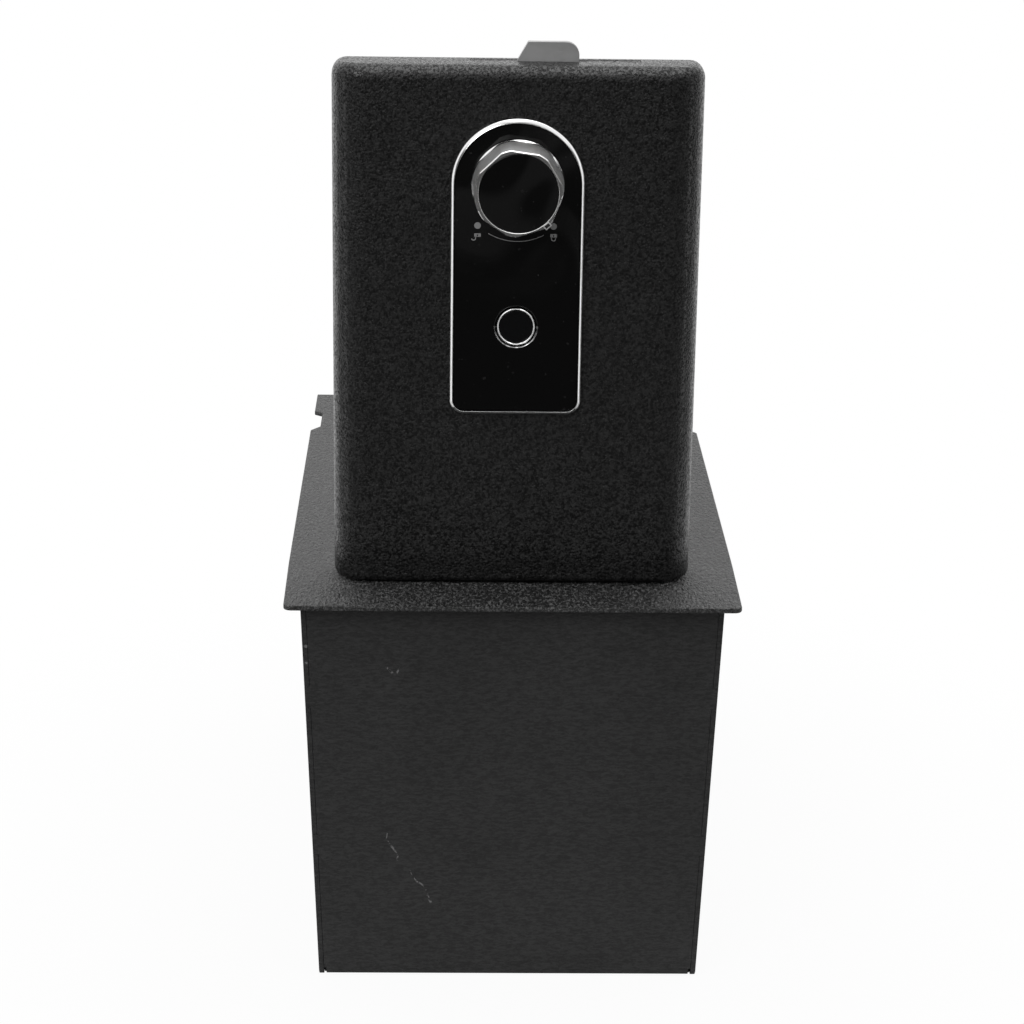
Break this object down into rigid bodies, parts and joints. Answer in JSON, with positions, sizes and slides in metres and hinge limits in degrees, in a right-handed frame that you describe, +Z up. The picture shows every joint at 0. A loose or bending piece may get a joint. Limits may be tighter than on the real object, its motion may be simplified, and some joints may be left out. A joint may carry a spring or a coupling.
{
  "type": "console safe",
  "caption": "Tapered sheet-steel vault that hangs by a flat rim plate, with a hinged tray lid, a strike and a fingerprint knob lock whose cam turns out through the lid's wall.",
  "frame": {"origin": "on the surface that the box's floor stands on, under the middle of the part's bounding box", "axes": "+X to the user's right, +Y from the rim plate's front edge towards its rear, +Z up; the lid stands open at rest"},
  "size_m": [0.178, 0.288, 0.373],
  "materials": {
    "coat_textured": "coarse black spray coat, matt",
    "coat_smooth": "dark grey powder coat, satin, faintly rippled",
    "zinc_steel": "zinc-plated steel, satin",
    "chrome": "bright chrome plate",
    "gloss_black": "gloss black",
    "matt_black": "moulded matt black",
    "sensor_glass": "dark polished sensor window",
    "brass": "turned brass",
    "copper_wire": "enamelled copper winding",
    "board_green": "green circuit board",
    "cell_wrap": "plain wrapped dry cell",
    "rubber": "soft black rubber",
    "felt": "needled felt mat"
  },
  "bodies": {
    "box": {"body_wrap": "coat_smooth", "side_panel_left": "coat_smooth", "side_panel_right": "coat_smooth", "floor_mat": "felt", "rim_plate": "coat_smooth", "strike_channel": "coat_smooth", "hinge_packer": "coat_smooth", "hinge_leaf_fixed": "zinc_steel", "hinge_screw_1": "zinc_steel", "hinge_screw_2": "zinc_steel", "hinge_screw_3": "zinc_steel", "hinge_screw_4": "zinc_steel", "hinge_screw_5": "zinc_steel", "hinge_pin": "zinc_steel"},
    "lid": {"hinge_leaf_lid": "zinc_steel", "lid_shell": "coat_textured", "lock_gasket": "rubber", "lock_rim": "chrome", "lock_face": "gloss_black", "sensor_ring": "chrome", "sensor_window": "sensor_glass", "sensor_body": "matt_black", "spindle_bush": "brass", "bush_nut": "brass", "solenoid_frame": "zinc_steel", "solenoid_coil": "copper_wire", "solenoid_lead": "rubber", "clamp_plate": "zinc_steel", "lock_screw_1": "zinc_steel", "lock_screw_2": "zinc_steel", "lock_screw_3": "zinc_steel", "lock_screw_4": "zinc_steel", "battery_case": "matt_black", "circuit_board": "board_green", "battery_1": "cell_wrap", "battery_2": "cell_wrap", "battery_3": "cell_wrap", "contact_lower": "zinc_steel", "contact_upper": "zinc_steel"},
    "knob": {"knob_shell": "chrome", "knob_insert": "gloss_black", "knob_marker": "chrome", "knob_set_screw": "zinc_steel", "spindle": "zinc_steel", "lock_disc": "zinc_steel", "cam": "zinc_steel", "cam_washer": "zinc_steel", "cam_screw": "zinc_steel"},
    "plunger": {"solenoid_plunger": "zinc_steel"},
    "cover": {"battery_cover": "matt_black"}
  },
  "joints": [
    {"name": "lid_hinge", "type": "hinge", "parent": "box", "child": "lid", "pos_m": [0, -0.1022, 0.167], "axis": [-1, 0, 0], "range_deg": [0, 90]},
    {"name": "knob_turn", "type": "hinge", "parent": "lid", "child": "knob", "pos_m": [0, -0.1175, 0.3218], "axis": [0, 1, 0], "range_deg": [0, 90]},
    {"name": "plunger_slide", "type": "slide", "parent": "lid", "child": "plunger", "axis": [1, 0, 0], "range_m": [0, 0.003]},
    {"name": "battery_cover_slide", "type": "slide", "parent": "lid", "child": "cover", "axis": [0, 0, -1], "range_m": [0, 0.01]}
  ]
}
